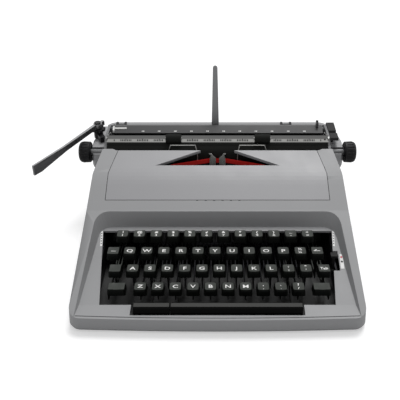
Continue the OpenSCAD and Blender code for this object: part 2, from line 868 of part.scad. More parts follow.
module mainspring_drum() color(steel) {
    translate([drum_x, rear_plate_y - 4, drum_z]) rotate([90, 0, 0]) difference() {
        union() {
            cylinder(h = 14, r = drum_r - 1);
            cylinder(h = 1.2, r = drum_r + 1);
            translate([0, 0, 12.8]) cylinder(h = 1.2, r = drum_r + 1);
        }
        translate([0, 0, -1]) cylinder(h = 20, r = 3 + running_gap);
    }
}

module bell() color(chrome) {
    translate([bell_x, bell_y, bell_z]) rotate([90, 0, 0]) difference() {
        sphere(bell_r);
        sphere(bell_r - bell_t);
        translate([-bell_r - 1, -bell_r - 1, -bell_r - 1]) cube([2 * bell_r + 2, 2 * bell_r + 2, bell_r + 1]);
        cylinder(h = bell_r + 1, r = 2 + seat_gap);
    }
}

module carriage_rail() color(steel) {
    translate([-rail_half, rail_y, rail_z]) cube([2 * rail_half, rail_d, rail_h]);
}

module end_plate_profile() {
    difference() {
        translate([platen_y, 0]) polygon([
            [-10, 74], [-4, carriage_z], [62, carriage_z], [62, 98], [52, 104], [44, 108],
            [8, 108], [0, 100], [-10, 94]
        ]);
        translate([platen_y, platen_z]) circle(shaft_r + running_gap);
        for (side = [-1, 1]) {
            translate([platen_y + side * feed_dy, feed_z]) circle(2 + running_gap);
        }
    }
}

feed_gap = platen_r + roller_r + free_gap;
feed_dy = feed_gap * cos(roller_drop);
feed_z = platen_z - feed_gap * sin(roller_drop);

module carriage_frame() color(steel) {
    for (side = [0, 1]) mirror([side, 0, 0]) {
        along_x(plate_x, plate_x + plate_t) end_plate_profile();
        bar_x(plate_x - 3, plate_x + 1, bail_pivot_y, bail_pivot_z, 2);
    }
    bar_x(plate_x + plate_t - 1, plate_x + plate_t + 5, paper_release_y, release_z, 2);
    bar_x(plate_x + plate_t - 1, plate_x + plate_t + 5, carriage_release_y, release_z, 2);
    translate([-plate_x - 1, table_back_y - 1, carriage_z]) cube([2 * plate_x + 2, 24, 2.4]);
    translate([-plate_x - 1, table_back_y + 21, carriage_z]) cube([2 * plate_x + 2, 2, 24]);
    for (side = [-1, 1]) difference() {
        translate([side * 30 - 10, rail_y - 3, rail_z + 2]) cube([20, 26, carriage_z - rail_z - 2 + 1]);
        translate([side * 30 - 11, rail_y - free_gap / 2, rail_z - 1])
            cube([22, rail_d + free_gap, rail_h + 1 + free_gap]);
        translate([side * 30 - 11, rail_y + rail_d + 3, rail_z - 1]) cube([22, 30, carriage_z - rail_z + 1]);
    }
}

// The end cover seen from the front, with its outer bottom edge rounded.
module end_front_view() {
    side_x1 = cover_x + end_cover_w;
    translate([0, far, 0]) rotate([90, 0, 0]) linear_extrude(far) {
        translate([0, end_cover_z + end_round]) square([side_x1, 60]);
        translate([0, end_cover_z]) square([side_x1 - end_round, 60]);
        translate([side_x1 - end_round, end_cover_z + end_round]) circle(end_round);
    }
}

// An end cover: side view cut by its tapered plan and its front view.
module end_cover(side) color(case_grey) {
    mirror([side < 0 ? 1 : 0, 0, 0]) difference() {
        intersection() {
            along_x(cover_x, cover_x + end_cover_w) polygon([
                [end_front_y + 1, end_cover_z], [end_front_y, end_cover_z + 3], [end_front_y, 91],
                [end_front_y + 4, 95.5], [platen_y + 14, end_top_z], [platen_y + 49, end_top_z],
                [end_rear_y, 96], [end_rear_y, end_cover_z]
            ]);
            linear_extrude(far) polygon([
                [0, 0], [cover_x + end_cover_w - 3, 0], [cover_x + end_cover_w - 3, end_front_y],
                [cover_x + end_cover_w, end_front_y + 3], [cover_x + end_cover_w, platen_y + 16],
                [cover_x + end_cover_w - end_taper, end_rear_y], [0, end_rear_y]
            ]);
            end_front_view();
        }
        bar_x(cover_x - 1, cover_x + end_cover_w + 1, platen_y, platen_z, shaft_r + 2);
    }
}

module platen() color(rubber) {
    difference() {
        bar_x(-platen_w / 2, platen_w / 2, platen_y, platen_z, platen_r);
        bar_x(-platen_w, platen_w, platen_y, platen_z, shaft_r + 0.02);
    }
}

module platen_shaft() color(steel) {
    bar_x(-knob_x - knob_w + 2, knob_x + knob_w - 2, platen_y, platen_z, shaft_r);
}

module knob(side) color(dark_black) {
    mirror([side < 0 ? 1 : 0, 0, 0]) translate([knob_x, platen_y, platen_z]) rotate([0, 90, 0]) difference() {
        rotate_extrude() polygon([
            [0, 0], [knob_r - 1.6, 0], [knob_r - 0.4, 1.2], [knob_r, knob_w - 5.4], [knob_r - 0.7, knob_w - 2.6],
            [knob_r - 2.2, knob_w - 0.8], [knob_r - 4, knob_w], [0, knob_w]
        ]);
        translate([0, 0, -1]) cylinder(h = knob_w - 1, r = shaft_r + 0.02);
        translate([0, 0, knob_w - 1]) cylinder(h = 2, r = knob_r - 4);
        for (i = [0 : 17]) rotate([0, 0, i * 20]) translate([knob_r + 0.4, 0, 3]) cylinder(h = knob_w, r = 1.3);
    }
}

module feed_roller(side) color(rubber) {
    y = platen_y + side * feed_dy;
    bar_x(-plate_x - 2, plate_x + 2, y, feed_z, 2);
    for (x = [-110, -55, 0, 55, 110]) bar_x(x - 16, x + 16, y, feed_z, roller_r);
}

module table_line() {
    polygon([
        [table_front_y, table_front_z], [table_top_y, table_top_z], [table_back_y + table_t, 110.5],
        [table_back_y + table_t, carriage_z + 2.4], [table_back_y, carriage_z + 2.4],
        [table_back_y, 109.6], [table_top_y, table_top_z - 1.3], [table_front_y + 0.5, table_front_z - 1.1]
    ]);
}

// The height of the table's sloping face at a depth.
function table_z(y) = table_front_z + (y - table_front_y) * (table_top_z - table_front_z) / (table_top_y - table_front_y);

module paper_table() color(dark_black) {
    along_x(-table_w / 2, table_w / 2) table_line();
    translate([support_x, support_y, support_z]) rotate([-90 - support_lean, 0, 0]) translate([0, 0, -4])
        cylinder(h = 6.4, r = 2);
    along_x(table_w / 2 - 8, table_w / 2 - 5.5) translate([table_top_y, table_top_z + 2.4]) line_wheel();
}

// The little star wheel at the table's right end.
module line_wheel() {
    circle(3.4);
    for (i = [0 : 2]) rotate(30 + 60 * i) square([10, 2.2], center = true);
}

module guide_strip(x0, x1, y0, y1, h) {
    along_x(x0, x1) polygon([
        [y0, table_z(y0) + 0.14], [y1, table_z(y1) + 0.14], [y1, table_z(y1) + 0.14 + h], [y0, table_z(y0) + 0.14 + h]
    ]);
}

module paper_guide() color("#d8d8d6") {
    x0 = 1 - table_w / 2;
    guide_strip(x0, x0 + 17.5, table_top_y - 6, table_top_y - 2.6, 1.1);
    guide_strip(x0, x0 + 2, table_front_y + 0.6, table_top_y - 1.4, 3.2);
}

module margin_rail() color(steel) {
    translate([-plate_x, margin_rail_y - 2, margin_rail_z - 2]) cube([2 * plate_x, 4, 4]);
}

module margin_stop(x, w) color(dark_black) {
    difference() {
        union() {
            translate([x - w / 2, margin_rail_y - 4, margin_rail_z - 4]) cube([w, 9, 8]);
            translate([x - w / 2, margin_rail_y - 2, margin_rail_z + 3]) cube([w, 6, 3.2]);
            for (end = [-w / 2, w / 2 - 3]) translate([x + end, margin_rail_y - 2, margin_rail_z + 3]) cube([3, 6, 6]);
        }
        translate([x - w, margin_rail_y - 2 - 0.1, margin_rail_z - 2 - 0.1]) cube([2 * w, 4.2, 4.2]);
    }
}

// The bail: a flat scale bar on two arms that turn on pins in the end plates.
module paper_bail() color(chrome) {
    for (side = [0, 1]) mirror([side, 0, 0]) {
        along_x(plate_x - 0.5 - bail_arm_t, plate_x - 0.5) difference() {
            union() {
                translate([bail_pivot_y, bail_pivot_z]) circle(4);
                polygon([
                    [bail_pivot_y - 1, bail_pivot_z + 3.8], [bail_y + 1, bail_z + 2.5], [bail_y - 2.5, bail_z + 1.5],
                    [bail_y - 2, bail_z - 2], [bail_y + 2, bail_z - 2.2], [bail_pivot_y - 2.5, bail_pivot_z - 3]
                ]);
            }
            translate([bail_pivot_y, bail_pivot_z]) circle(2 + running_gap);
        }
    }
    difference() {
        bail_plate(plate_x - 1.5);
        for (x = bail_roller_x) translate([x - roller_half, bail_y - 10, bail_z - 10]) cube([2 * roller_half, 20, 20]);
    }
    for (x = bail_roller_x) bar_x(x - roller_half - 1, x + roller_half + 1, bail_y, bail_z, bail_rod_r);
}

// The flat scale bar, leaning back towards the typist's eye.
module bail_plate(half) {
    translate([-half, bail_y, bail_z]) rotate([-35, 0, 0]) translate([0, -0.7, -4.6]) cube([2 * half, 1.4, 8.6]);
}

module bail_rollers() color(rubber) {
    for (x = bail_roller_x) difference() {
        bar_x(x - roller_half + 0.2, x + roller_half - 0.2, bail_y, bail_z, bail_roller_r);
        bar_x(x - roller_half - 1, x + roller_half + 1, bail_y, bail_z, bail_rod_r + running_gap);
    }
}

module lever_bracket() color(dark_black) {
    translate([lever_pivot_x, lever_pivot_y, 0]) {
        translate([0, 0, end_top_z]) cylinder(h = 10, r = 6);
        translate([0, 0, end_top_z]) cylinder(h = lever_low_z + 7.4 - end_top_z, r = 3);
        translate([0, 0, lever_low_z + 7]) cylinder(h = 1, r = 4.2);
        translate([0, 0, end_top_z]) rotate([0, 0, -62]) translate([0, -3.5, 0]) cube([17.5, 7, 7]);
        translate([0, 0, lever_low_z - 3.6]) difference() {
            cylinder(h = 2.8, r = 9.5);
            for (i = [0 : 8]) rotate([0, 0, 40 * i]) translate([9.8, 0, -1]) cylinder(h = 5, r = 1.9);
        }
    }
}

// The return lever: hub, flat arm and a paddle turned on edge.
module return_lever() color(chrome) {
    translate([lever_pivot_x, lever_pivot_y, 0]) rotate([0, 0, -lever_angle]) difference() {
        union() {
            translate([0, 0, lever_low_z]) cylinder(h = 6.4, r = 5.5);
            translate([-2, -6, lever_low_z + 0.2]) cube([4, 17, 6]);
            hull() {
                translate([-2, -8, lever_low_z + 0.2]) cube([4, 4, 6]);
                translate([-1.5, -64, 105.5]) cube([3, 4, 7]);
            }
            hull() {
                translate([-1.5, -64, 105.5]) cube([3, 4, 7]);
                translate([-paddle_t / 2, -lever_len, 97]) cube([paddle_t, 12, 13]);
            }
        }
        translate([0, 0, 100]) cylinder(h = 30, r = 3 + running_gap);
    }
}

module paper_support() color(chrome) {
    translate([support_x, support_y, support_z]) rotate([-support_lean, 0, 0]) difference() {
        hull() {
            translate([0, 1.75, 0]) rotate([90, 0, 0]) cylinder(h = 3.5, r = 5, $fn = 32);
            translate([0, 1.75, support_len - 3]) rotate([90, 0, 0]) cylinder(h = 3.5, r = 3, $fn = 32);
        }
        translate([0, 4, 0]) rotate([90, 0, 0]) cylinder(h = 8, r = 2 + running_gap);
    }
}

module release_lever(y, w, h) color(dark_black) {
    x0 = plate_x + plate_t + 0.3;
    difference() {
        union() {
            along_x(x0, x0 + 4) translate([y, release_z]) circle(4.5);
            along_x(x0, x0 + 4) polygon([
                [y - 3, release_z], [y + 3, release_z], [y + 4, release_z + h], [y - 4, release_z + h]
            ]);
            along_x(x0, x0 + 10) polygon([
                [y - w / 2, release_z + h - 1], [y - w / 2 + 2, release_z + h + 2],
                [y + w / 2 - 3, release_z + h + 3], [y + w / 2, release_z + h], [y + w / 2 - 2, release_z + h - 2]
            ]);
        }
        bar_x(x0 - 1, x0 + 5, y, release_z, 2 + running_gap);
    }
}

place() base_tray();
place() rubber_feet();
place() top_shell();
place() ribbon_cover();
place() chassis();
place() key_comb();
place() key_pivot_rod();
place() type_segment();
place() fulcrum_wire();
place() type_bars();
place() type_bar_h();
place() ribbon_vibrator();
place() ribbon();
place() ribbon_runs();
place() card_wires();
place() spool_at(-1);  // ribbon_spool_left
place() spool_at(1);  // ribbon_spool_right
place() mainspring_drum();
place() bell();
place() carriage_rail();
place() carriage_frame();
place() end_cover(-1);  // end_cover_left
place() end_cover(1);  // end_cover_right
place() platen();
place() platen_shaft();
place() knob(-1);  // knob_left
place() knob(1);  // knob_right
place() feed_roller(-1);  // feed_roller_front
place() feed_roller(1);  // feed_roller_rear
place() paper_table();
place() paper_guide();
place() margin_rail();
place() margin_stop(stop_left_x, 14);  // margin_stop_left
place() margin_stop(stop_right_x, 15);  // margin_stop_right
place() paper_bail();
place() bail_rollers();
place() lever_bracket();
place() return_lever();
place() paper_support();
place() release_lever(paper_release_y, 27, 3);  // paper_release_lever
place() release_lever(carriage_release_y, 17, 2.5);  // carriage_release_lever
place() space_bar();
place() repeat_key();
place() shift_keys();
place() function_key(lock_x, lock_x, 1, cap_w, cap_w);  // shift_lock_key
place()  // margin_release_key
    function_key(margin_release_x, margin_release_x, 2, cap_w, cap_w);
place() function_key(backspace_x, backspace_x, 2, cap_w, cap_w);  // backspace_key
place() function_key(tab_x, tab_x, 1, cap_w, cap_w);  // tab_key
place() ribbon_selector();
place() keycaps(1);  // keycaps_row_1
place() keycaps(2);  // keycaps_row_2
place() keycaps(3);  // keycaps_row_3
place() keycaps(4);  // keycaps_row_4
place() key_levers(1);  // key_levers_row_1
place() key_levers(2);  // key_levers_row_2
place() key_levers(3);  // key_levers_row_3
place() key_levers(4);  // key_levers_row_4
place() key_h();
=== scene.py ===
# %% [markdown]
# # A portable typewriter, dressed step by step
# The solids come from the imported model, already at their real size and place. This lesson gives them
# their finishes, adds the small things that solids leave out, such as the key legends, and lights
# the whole. It could all be one long script, but short cells let each step be tried by itself.

# %% Load the solids
import bpy, math
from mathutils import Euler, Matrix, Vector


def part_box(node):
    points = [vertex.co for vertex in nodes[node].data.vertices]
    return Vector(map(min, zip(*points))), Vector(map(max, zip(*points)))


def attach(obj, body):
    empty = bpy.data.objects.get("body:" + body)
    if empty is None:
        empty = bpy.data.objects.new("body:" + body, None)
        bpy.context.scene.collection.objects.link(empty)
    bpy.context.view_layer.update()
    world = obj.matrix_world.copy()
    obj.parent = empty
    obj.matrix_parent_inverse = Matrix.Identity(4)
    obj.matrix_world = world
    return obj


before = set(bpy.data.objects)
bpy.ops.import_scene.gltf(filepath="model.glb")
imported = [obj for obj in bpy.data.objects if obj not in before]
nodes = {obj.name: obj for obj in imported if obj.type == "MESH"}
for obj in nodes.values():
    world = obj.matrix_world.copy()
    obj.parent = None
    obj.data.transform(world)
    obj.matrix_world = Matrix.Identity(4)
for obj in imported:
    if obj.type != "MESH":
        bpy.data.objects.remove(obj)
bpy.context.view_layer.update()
scene = bpy.context.scene

# %% [markdown]
# The machine is drawn from its own middle plane, its front edge and the table. The pivot rod of the
# keys is centred on that middle plane, so its box gives the plane's place in the frame. One helper
# then turns millimetres on the machine into metres in the frame. Another selects only the objects
# that it is given, or none, because an operator acts on all that is selected.

# %% Places on the machine
rod_low, rod_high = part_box("key_pivot_rod")
middle = (rod_low.x + rod_high.x) / 2
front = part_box("top_shell")[0].y
mm = 0.001

def at(x, y, z):
    return Vector((middle + x * mm, front + y * mm, z * mm))

def select_only(*objects):
    bpy.ops.object.select_all(action="DESELECT")
    for o in objects:
        o.select_set(True)
        bpy.context.view_layer.objects.active = o

select_only()
print("middle plane x", round(middle, 5), "front edge y", round(front, 5))

# %% [markdown]
# The camera stands where the photographer stood: in line with the middle plane, above the keys and
# looking down at them. The frame is moved sideways with the lens shift, because the return lever
# makes the machine reach further to the left.

# %% Camera
camera_data = bpy.data.cameras.new("camera")
camera = bpy.data.objects.new("camera", camera_data)
scene.collection.objects.link(camera)
in_front, above, tilt = 483.1, 481.5, 57.13
camera.location = at(0, -in_front, above)
camera.rotation_euler = Euler((math.radians(tilt), 0, 0))
camera_data.lens = 56.7
camera_data.sensor_width = 36
camera_data.shift_x = -0.04375
camera_data.clip_start, camera_data.clip_end = 0.01, 20
scene.camera = camera
print("camera at", [round(v, 3) for v in camera.location])

# %% [markdown]
# The floor, the sky and every finish are trees of nodes, and much in them is plain arithmetic: a sum,
# a product, a share. A few small helpers keep that readable. They add a node and feed its inputs,
# each from a socket or a number, start a node group with named inputs and outputs, and place such a
# group in a tree. Nodes could be linked one line at a time, but then the sums get lost among them.

# %% Helpers for node trees
def feed(tree, socket, value):
    if isinstance(value, bpy.types.NodeSocket):
        tree.links.new(value, socket)
    else:
        socket.default_value = value

def add_node(tree, kind, operation=None, *values, clamp=False):
    node = tree.nodes.new("ShaderNode" + kind)
    if operation:
        node.operation = operation
    if clamp:
        node.use_clamp = True
    for socket, value in zip(node.inputs, values):
        feed(tree, socket, value)
    return node

def arithmetic(tree, operation, *values, clamp=False):
    return add_node(tree, "Math", operation, *values, clamp=clamp).outputs[0]

def coordinates(tree, kind="Object"):
    return add_node(tree, "TexCoord").outputs[kind]

def mapped(tree, vector, **places):
    node = add_node(tree, "Mapping", None, vector)
    for title, value in places.items():
        node.inputs[title].default_value = value
    return node.outputs["Vector"]

def start_group(name, inputs, outputs):
    group = bpy.data.node_groups.new(name, "ShaderNodeTree")
    for title, kind, value in inputs:
        socket = group.interface.new_socket(title, in_out="INPUT", socket_type="NodeSocket" + kind)
        if value is not None:
            socket.default_value = value
    for title, kind in outputs:
        group.interface.new_socket(title, in_out="OUTPUT", socket_type="NodeSocket" + kind)
    given = group.nodes.new("NodeGroupInput").outputs
    return group, given, group.nodes.new("NodeGroupOutput").inputs

def add_group(tree, group, values):
    node = add_node(tree, "Group")
    node.node_tree = group
    for title, value in values.items():
        feed(tree, node.inputs[title], value)
    return node.outputs

helpers = (feed, add_node, arithmetic, coordinates, mapped, start_group, add_group)
print("node helpers:", [helper.__name__ for helper in helpers])

# %% [markdown]
# A sheet of pale card is the floor. It glows a little for the camera alone, which makes it as white
# as the sky behind it and still keeps the shadow. A paler card would do that too, but it would throw
# more light back at the machine.

# %% Floor
scene.view_settings.view_transform = "Standard"

bpy.ops.mesh.primitive_plane_add(size=12, location=(0, 0, 0))
floor = bpy.context.object
floor.name = "floor"
card = bpy.data.materials.new("floor_card")
card.use_nodes = True
tree = card.node_tree
shader = tree.nodes["Principled BSDF"]
shader.inputs["Base Color"].default_value = (0.74, 0.74, 0.74, 1)
shader.inputs["Roughness"].default_value = 0.9
shader.inputs["Specular IOR Level"].default_value = 0.1
seen = add_node(tree, "LightPath").outputs
glow = add_node(tree, "Emission")
feed(tree, glow.inputs["Strength"], arithmetic(tree, "MULTIPLY", seen["Is Camera Ray"], 0.40))
added = add_node(tree, "AddShader", None, shader.outputs[0], glow.outputs[0])
feed(tree, tree.nodes["Material Output"].inputs["Surface"], added.outputs[0])
floor.data.materials.append(card)
print("floor of", [round(v, 1) for v in floor.dimensions[:2]], "m")

# %% [markdown]
# An even sky is the studio. What the camera sees of it, itself or in gloss and glass, is plain white.
# What lights the machine is half as strong, so that pale surfaces keep their shade.

# %% Sky
sky = bpy.data.worlds.new("sky")
scene.world = sky
sky.use_nodes = True
tree = sky.node_tree
tree.nodes.clear()
soft, white = add_node(tree, "Background"), add_node(tree, "Background")
soft.inputs["Color"].default_value = (0.5, 0.5, 0.505, 1)
white.inputs["Color"].default_value = (1, 1, 1, 1)
seen = add_node(tree, "LightPath").outputs
direct = arithmetic(tree, "MAXIMUM", seen["Is Camera Ray"], seen["Is Glossy Ray"])
direct = arithmetic(tree, "MAXIMUM", direct, seen["Is Transmission Ray"])
mix = add_node(tree, "MixShader", None, direct, soft.outputs[0], white.outputs[0])
feed(tree, add_node(tree, "OutputWorld").inputs["Surface"], mix.outputs[0])
print("sky of", len(tree.nodes), "nodes")

# %% [markdown]
# One soft sun stands high and a little behind the machine, so that faces turned to the typist fall
# into half shade. A wide angle makes the edge of its shadow soft, as a window's is.

# %% Sun
sun_data = bpy.data.lights.new("window", "SUN")
sun_data.energy = 1.75
sun_data.angle = math.radians(25)
sun = bpy.data.objects.new("window", sun_data)
sun.rotation_euler = Euler((math.radians(-24), math.radians(8), 0))
scene.collection.objects.link(sun)
print("sun strength", sun_data.energy)

# %% [markdown]
# Every finish on the machine is slightly uneven: plastic has a moulded grain, steel has rolling
# marks, rubber is ground. One node group makes all three effects from noise: a colour that drifts a
# little, a roughness that drifts a little, and a height for the bump. A separate noise in each
# material would do too, but then a change would have to be made in every one of them.

# %% Node group for an uneven surface
def uneven_group():
    g, given, out = start_group(
        "UnevenSurface",
        (("Vector", "Vector", None), ("Base", "Color", (0.5, 0.5, 0.5, 1)), ("Drift", "Float", 0.1),
         ("Patch Scale", "Float", 40), ("Roughness", "Float", 0.5), ("Roughness Drift", "Float", 0.1),
         ("Grain Scale", "Float", 2500)),
        (("Color", "Color"), ("Roughness", "Float"), ("Height", "Float")))
    noises = []
    for scale, detail in (("Patch Scale", 4), ("Grain Scale", 2)):
        noise = add_node(g, "TexNoise")
        noise.inputs["Detail"].default_value = detail
        feed(g, noise.inputs["Vector"], given["Vector"])
        feed(g, noise.inputs["Scale"], given[scale])
        noises.append(noise.outputs["Fac"])
    level = arithmetic(g, "SUBTRACT", arithmetic(g, "ADD", *noises), 1.0)
    shade = arithmetic(g, "MULTIPLY_ADD", level, given["Drift"], 1.0)
    tint = add_node(g, "VectorMath", "SCALE", given["Base"])
    feed(g, tint.inputs["Scale"], shade)
    rough = arithmetic(g, "MULTIPLY_ADD", level, given["Roughness Drift"], given["Roughness"], clamp=True)
    feed(g, out["Color"], tint.outputs[0])
    feed(g, out["Roughness"], rough)
    feed(g, out["Height"], noises[1])
    return g

uneven = uneven_group()
print("group sockets:", [socket.name for socket in uneven.interface.items_tree])

# %% [markdown]
# A finish is one Principled shader fed by that group. Brushed or rolled steel is the same thing with
# the noise stretched one way, which a Mapping node does before the group.

# %% One helper for every finish
finish_names = []

def finish(name, base, rough, drift=0.12, patch=40, grain=2500, bump=0.15, metallic=0.0, stretch=None,
           specular=0.5):
    m = bpy.data.materials.new(name)
    m.use_nodes = True
    tree = m.node_tree
    p = tree.nodes["Principled BSDF"]
    p.inputs["Metallic"].default_value = metallic
    p.inputs["Specular IOR Level"].default_value = specular
    place = coordinates(tree)
    if stretch:
        place = mapped(tree, place, Scale=stretch)
    made = add_group(tree, uneven, {
        "Vector": place, "Base": (*base, 1), "Drift": drift, "Patch Scale": patch, "Roughness": rough,
        "Roughness Drift": 0.15, "Grain Scale": grain})
    relief = add_node(tree, "Bump")
    relief.inputs["Strength"].default_value = bump
    relief.inputs["Distance"].default_value = 0.1 * mm
    feed(tree, relief.inputs["Height"], made["Height"])
    feed(tree, p.inputs["Base Color"], made["Color"])
    feed(tree, p.inputs["Roughness"], made["Roughness"])
    feed(tree, p.inputs["Normal"], relief.outputs["Normal"])
    finish_names.append(name)
    return m

print("finish needs a name, a colour and a roughness")

# %% [markdown]
# The case is grey plastic with a fine moulded grain. Its ends are the same plastic painted a shade
# lighter, as painted light on ends that stand in half shade, and the ribbon cover is a shade smoother.
# The keys are black plastic that takes hardly any gloss, the small metal parts are enamelled black, and
# the rollers and feet are dull rubber.

# %% Plastics, enamels and rubbers
case_grey = (0.268, 0.270, 0.275)
case_plastic = finish("case_plastic", case_grey, 0.5, drift=0.06, grain=3200, bump=0.3)
tray_plastic = finish("tray_plastic", case_grey, 0.5, drift=0.06, grain=3200, bump=0.3)
# painted light: the case's plastic, made lighter for the half shade that the ends stand in
end_plastic_lit = finish("end_plastic_lit", (0.310, 0.312, 0.318), 0.5, drift=0.06, grain=3200, bump=0.3)
cover_plastic = finish("cover_plastic", (0.275, 0.275, 0.284), 0.42, drift=0.05, grain=3600, bump=0.2)

def key_black(name):
    return finish(name, (0.0025, 0.003, 0.0025), 0.42, drift=0.3, patch=120, grain=1800, bump=0.1,
                  specular=0.06)

key_plastic = key_black("key_plastic")
bar_plastic = finish("bar_plastic", (0.0015, 0.0015, 0.0015), 0.40, drift=0.3, patch=90, bump=0.12,
                     specular=0.04)
black_plastic = finish("black_plastic", (0.0045, 0.0045, 0.005), 0.45, drift=0.3, patch=90,
                       specular=0.18)
black_enamel = finish("black_enamel", (0.010, 0.010, 0.011), 0.4, drift=0.3, patch=60, bump=0.08,
                      specular=0.25)
table_enamel = finish("table_enamel", (0.055, 0.055, 0.056), 0.42, drift=0.3, patch=60, bump=0.08,
                      specular=0.2)
roll_rubber = finish("roll_rubber", (0.009, 0.0095, 0.0085), 0.8, drift=0.5, patch=70, grain=5200,
                     bump=0.5, specular=0.12)
foot_rubber = finish("foot_rubber", (0.02, 0.02, 0.02), 0.85, drift=0.3, bump=0.5, specular=0.2)
guide_white = finish("guide_white", (0.78, 0.78, 0.76), 0.45, drift=0.05)
print("dull finishes:", finish_names)

# %% [markdown]
# The metal parts differ in how dark and how bright they are: the frame is dull, plated parts shine, and
# the levers under the keys are almost black. On rolled and brushed pieces the noise is drawn out one
# way, so that it reads as fine lines.

# %% Steels
frame_steel = finish("frame_steel", (0.15, 0.152, 0.155), 0.5, drift=0.25, patch=70, metallic=0.6, bump=0.1)
zinc_steel = finish("zinc_steel", (0.30, 0.31, 0.32), 0.4, drift=0.25, patch=70, metallic=1.0, bump=0.1)
dark_steel = finish("dark_steel", (0.022, 0.022, 0.024), 0.5, drift=0.4, metallic=1.0, stretch=(1, 0.08, 1))
bar_steel = finish("bar_steel", (0.10, 0.10, 0.105), 0.35, drift=0.4, patch=90, metallic=1.0)
wire_steel = finish("wire_steel", (0.26, 0.26, 0.25), 0.5, drift=0.3, metallic=0.6)
scale_steel = finish("scale_steel", (0.31, 0.31, 0.30), 0.35, drift=0.3, patch=60, metallic=1.0,
                     stretch=(0.5, 1, 1))
lever_steel = finish("lever_steel", (0.20, 0.20, 0.203), 0.34, drift=0.3, metallic=1.0,
                     stretch=(1, 0.06, 1))
support_steel = finish("support_steel", (0.19, 0.192, 0.196), 0.42, drift=0.2, metallic=0.9,
                       stretch=(1, 1, 0.05))
print("finishes with the steels:", len(finish_names))

# %% [markdown]
# Several pieces are two-coloured or carry painted light. The tops of the key caps, of the space bar and
# of the return lever are painted lighter as a highlight where light falls on them, the upward faces of
# the tray are painted black as shade in the key well, the bail has a pale and a dark band, and the
# paper guide is dark behind its white edge. All these follow one rule: the second colour is on one side
# of a plane, or on faces that look one way. A node group measures that side, and a helper mixes the
# colour in. Two materials in two slots would do for a flat piece, but a dished key cap has no edge to
# change slots at.

# %% Node group and helper for a second colour
def side_group():
    g, given, out = start_group(
        "SideOf",
        (("Vector", "Vector", None), ("Direction", "Vector", None), ("Level", "Float", 0.0),
         ("Blur", "Float", 0.0003)),
        (("Fac", "Float"),))
    along = add_node(g, "VectorMath", "DOT_PRODUCT", given["Vector"], given["Direction"])
    past = arithmetic(g, "SUBTRACT", along.outputs["Value"], given["Level"])
    share = arithmetic(g, "DIVIDE", past, given["Blur"])
    feed(g, out["Fac"], arithmetic(g, "MULTIPLY_ADD", share, 0.5, 0.5, clamp=True))
    return g

side_of = side_group()

def side_mask(tree, vector, direction, level, blur):
    values = {"Vector": vector, "Direction": direction, "Level": level, "Blur": blur}
    return add_group(tree, side_of, values)["Fac"]

def mix_in(m, colour, mask):
    tree = m.node_tree
    base = tree.nodes["Principled BSDF"].inputs["Base Color"]
    mix = add_node(tree, "Mix")
    mix.data_type = "RGBA"
    feed(tree, mix.inputs["Factor"], mask)
    feed(tree, mix.inputs[6], base.links[0].from_socket)
    mix.inputs[7].default_value = (*colour, 1)
    feed(tree, base, mix.outputs[2])

def tint_where(m, colour, direction, level, blur, kind="Object"):
    mix_in(m, colour, side_mask(m.node_tree, coordinates(m.node_tree, kind), direction, level, blur))

print("group sockets:", [socket.name for socket in side_of.interface.items_tree])

# %% [markdown]
# On caps, bar, tray and lever the second colour is on the faces that look up: a painted highlight on
# caps, bar and lever, and painted shade on the tray. On the bail it is below a line that leans back with
# the bail's face, and on the paper guide it is behind its front edge.

# %% Second colours, painted highlights and painted shade
up = (0, 0, 1)
well_shade_black, cap_top_highlight, bar_top_highlight = (0.004, 0.004, 0.004), (0.060, 0.064, 0.059), (0.058, 0.058, 0.056)
lever_top_highlight, bail_dark, guide_dark = (0.30, 0.30, 0.305), (0.13, 0.13, 0.128), (0.03, 0.03, 0.03)
# painted shade: the tray's upward faces are painted black as the shadow in the key well
tint_where(tray_plastic, well_shade_black, up, 0.6, 0.2, "Normal")
# painted highlight: the upward faces of the unlettered keys' caps are painted lighter grey
tint_where(key_plastic, cap_top_highlight, up, 0.80, 0.1, "Normal")
# painted highlight: the upward faces of the space bar and repeat key are painted lighter
tint_where(bar_plastic, bar_top_highlight, up, 0.93, 0.05, "Normal")
# painted highlight: the upward faces of the return lever are painted lighter
tint_where(lever_steel, lever_top_highlight, up, 0.85, 0.1, "Normal")

bail_tilt = 35
bail_lean = math.radians(bail_tilt)
bail_up = (0, math.sin(bail_lean), math.cos(bail_lean))
bail_axis = at(0, 232.484, 112.008)
bail_border = bail_axis.y * bail_up[1] + bail_axis.z * bail_up[2] - 0.5 * mm
tint_where(scale_steel, bail_dark, bail_up, bail_border, 0.15 * mm)

guide_edge_y = 264.7
tint_where(guide_white, guide_dark, (0, 1, 0), at(0, guide_edge_y, 0).y, 0.2 * mm)
print("bail leans back by", bail_tilt, "degrees, border at", round(bail_border, 4), "m up that slope")

# %% [markdown]
# The solids take their finish through their own material slot. Nothing about their shape is touched.
# One table says which finish each piece wears, so that two pieces of one stuff always match.

# %% Finishes on the solids
def dress(material, *names):
    for name in names:
        nodes[name].data.materials.clear()
        nodes[name].data.materials.append(material)

